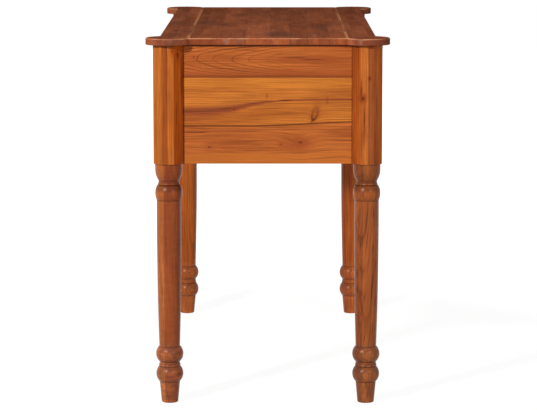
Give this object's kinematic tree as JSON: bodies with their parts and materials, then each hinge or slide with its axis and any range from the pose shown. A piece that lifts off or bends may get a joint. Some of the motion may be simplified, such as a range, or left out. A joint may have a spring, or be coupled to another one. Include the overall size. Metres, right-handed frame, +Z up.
{
  "type": "desk with drawers",
  "caption": "Solid-wood writing desk with turned legs, octagonal corner posts, a top with round corner lobes, and sliding drawers beside and above a knee space.",
  "frame": {"origin": "on the floor under the middle of the desk", "axes": "+X along the desk to the right as seen from the sitter, +Y away from the sitter, +Z up; drawer fronts face -Y"},
  "size_m": [1.1, 0.5, 0.76],
  "materials": {
    "top_wood": "dark stained, satin lacquer",
    "panel_wood": "amber stained, satin lacquer",
    "leg_wood": "brown stained, satin lacquer",
    "inner_wood": "planed, unstained",
    "plywood": "sanded veneer",
    "steel": "zinc plated",
    "brass": "machined"
  },
  "bodies": {
    "carcass": {"back_lower_panel_left": "panel_wood", "back_lower_panel_right": "panel_wood", "back_upper_panel": "panel_wood", "drawer_runners": "inner_wood", "end_panel_left": "panel_wood", "end_panel_right": "panel_wood", "front_bottom_rail_left": "panel_wood", "front_bottom_rail_right": "panel_wood", "front_divider_rail_left": "panel_wood", "front_divider_rail_right": "panel_wood", "front_middle_rail": "panel_wood", "front_top_rail": "panel_wood", "inner_panel_left": "panel_wood", "inner_panel_right": "panel_wood", "leg_back_left": "leg_wood", "leg_back_right": "leg_wood", "leg_bolts": "steel", "leg_front_left": "leg_wood", "leg_front_right": "leg_wood", "leg_inserts": "brass", "post_back_left": "panel_wood", "post_back_right": "panel_wood", "post_front_left": "panel_wood", "post_front_right": "panel_wood", "top_back_board": "top_wood", "top_cleats": "inner_wood", "top_front_board": "top_wood", "top_middle_panel": "top_wood", "top_screws": "steel"},
    "left_lower_drawer": {"left_lower_drawer_back": "inner_wood", "left_lower_drawer_bottom": "plywood", "left_lower_drawer_front": "panel_wood", "left_lower_drawer_knob": "leg_wood", "left_lower_drawer_knob_screw": "steel", "left_lower_drawer_sides": "inner_wood"},
    "left_upper_drawer": {"left_upper_drawer_back": "inner_wood", "left_upper_drawer_bottom": "plywood", "left_upper_drawer_front": "panel_wood", "left_upper_drawer_knob": "leg_wood", "left_upper_drawer_knob_screw": "steel", "left_upper_drawer_sides": "inner_wood"},
    "middle_drawer": {"middle_drawer_back": "inner_wood", "middle_drawer_bottom": "plywood", "middle_drawer_front": "panel_wood", "middle_drawer_knob": "leg_wood", "middle_drawer_knob_screw": "steel", "middle_drawer_sides": "inner_wood"},
    "right_lower_drawer": {"right_lower_drawer_back": "inner_wood", "right_lower_drawer_bottom": "plywood", "right_lower_drawer_front": "panel_wood", "right_lower_drawer_knob": "leg_wood", "right_lower_drawer_knob_screw": "steel", "right_lower_drawer_sides": "inner_wood"},
    "right_upper_drawer": {"right_upper_drawer_back": "inner_wood", "right_upper_drawer_bottom": "plywood", "right_upper_drawer_front": "panel_wood", "right_upper_drawer_knob": "leg_wood", "right_upper_drawer_knob_screw": "steel", "right_upper_drawer_sides": "inner_wood"}
  },
  "joints": [
    {"name": "left_lower_drawer_slide", "type": "slide", "parent": "carcass", "child": "left_lower_drawer", "axis": [0, -1, 0], "range_m": [0, 0.28]},
    {"name": "left_upper_drawer_slide", "type": "slide", "parent": "carcass", "child": "left_upper_drawer", "axis": [0, -1, 0], "range_m": [0, 0.28]},
    {"name": "middle_drawer_slide", "type": "slide", "parent": "carcass", "child": "middle_drawer", "axis": [0, -1, 0], "range_m": [0, 0.28]},
    {"name": "right_lower_drawer_slide", "type": "slide", "parent": "carcass", "child": "right_lower_drawer", "axis": [0, -1, 0], "range_m": [0, 0.28]},
    {"name": "right_upper_drawer_slide", "type": "slide", "parent": "carcass", "child": "right_upper_drawer", "axis": [0, -1, 0], "range_m": [0, 0.28]}
  ]
}
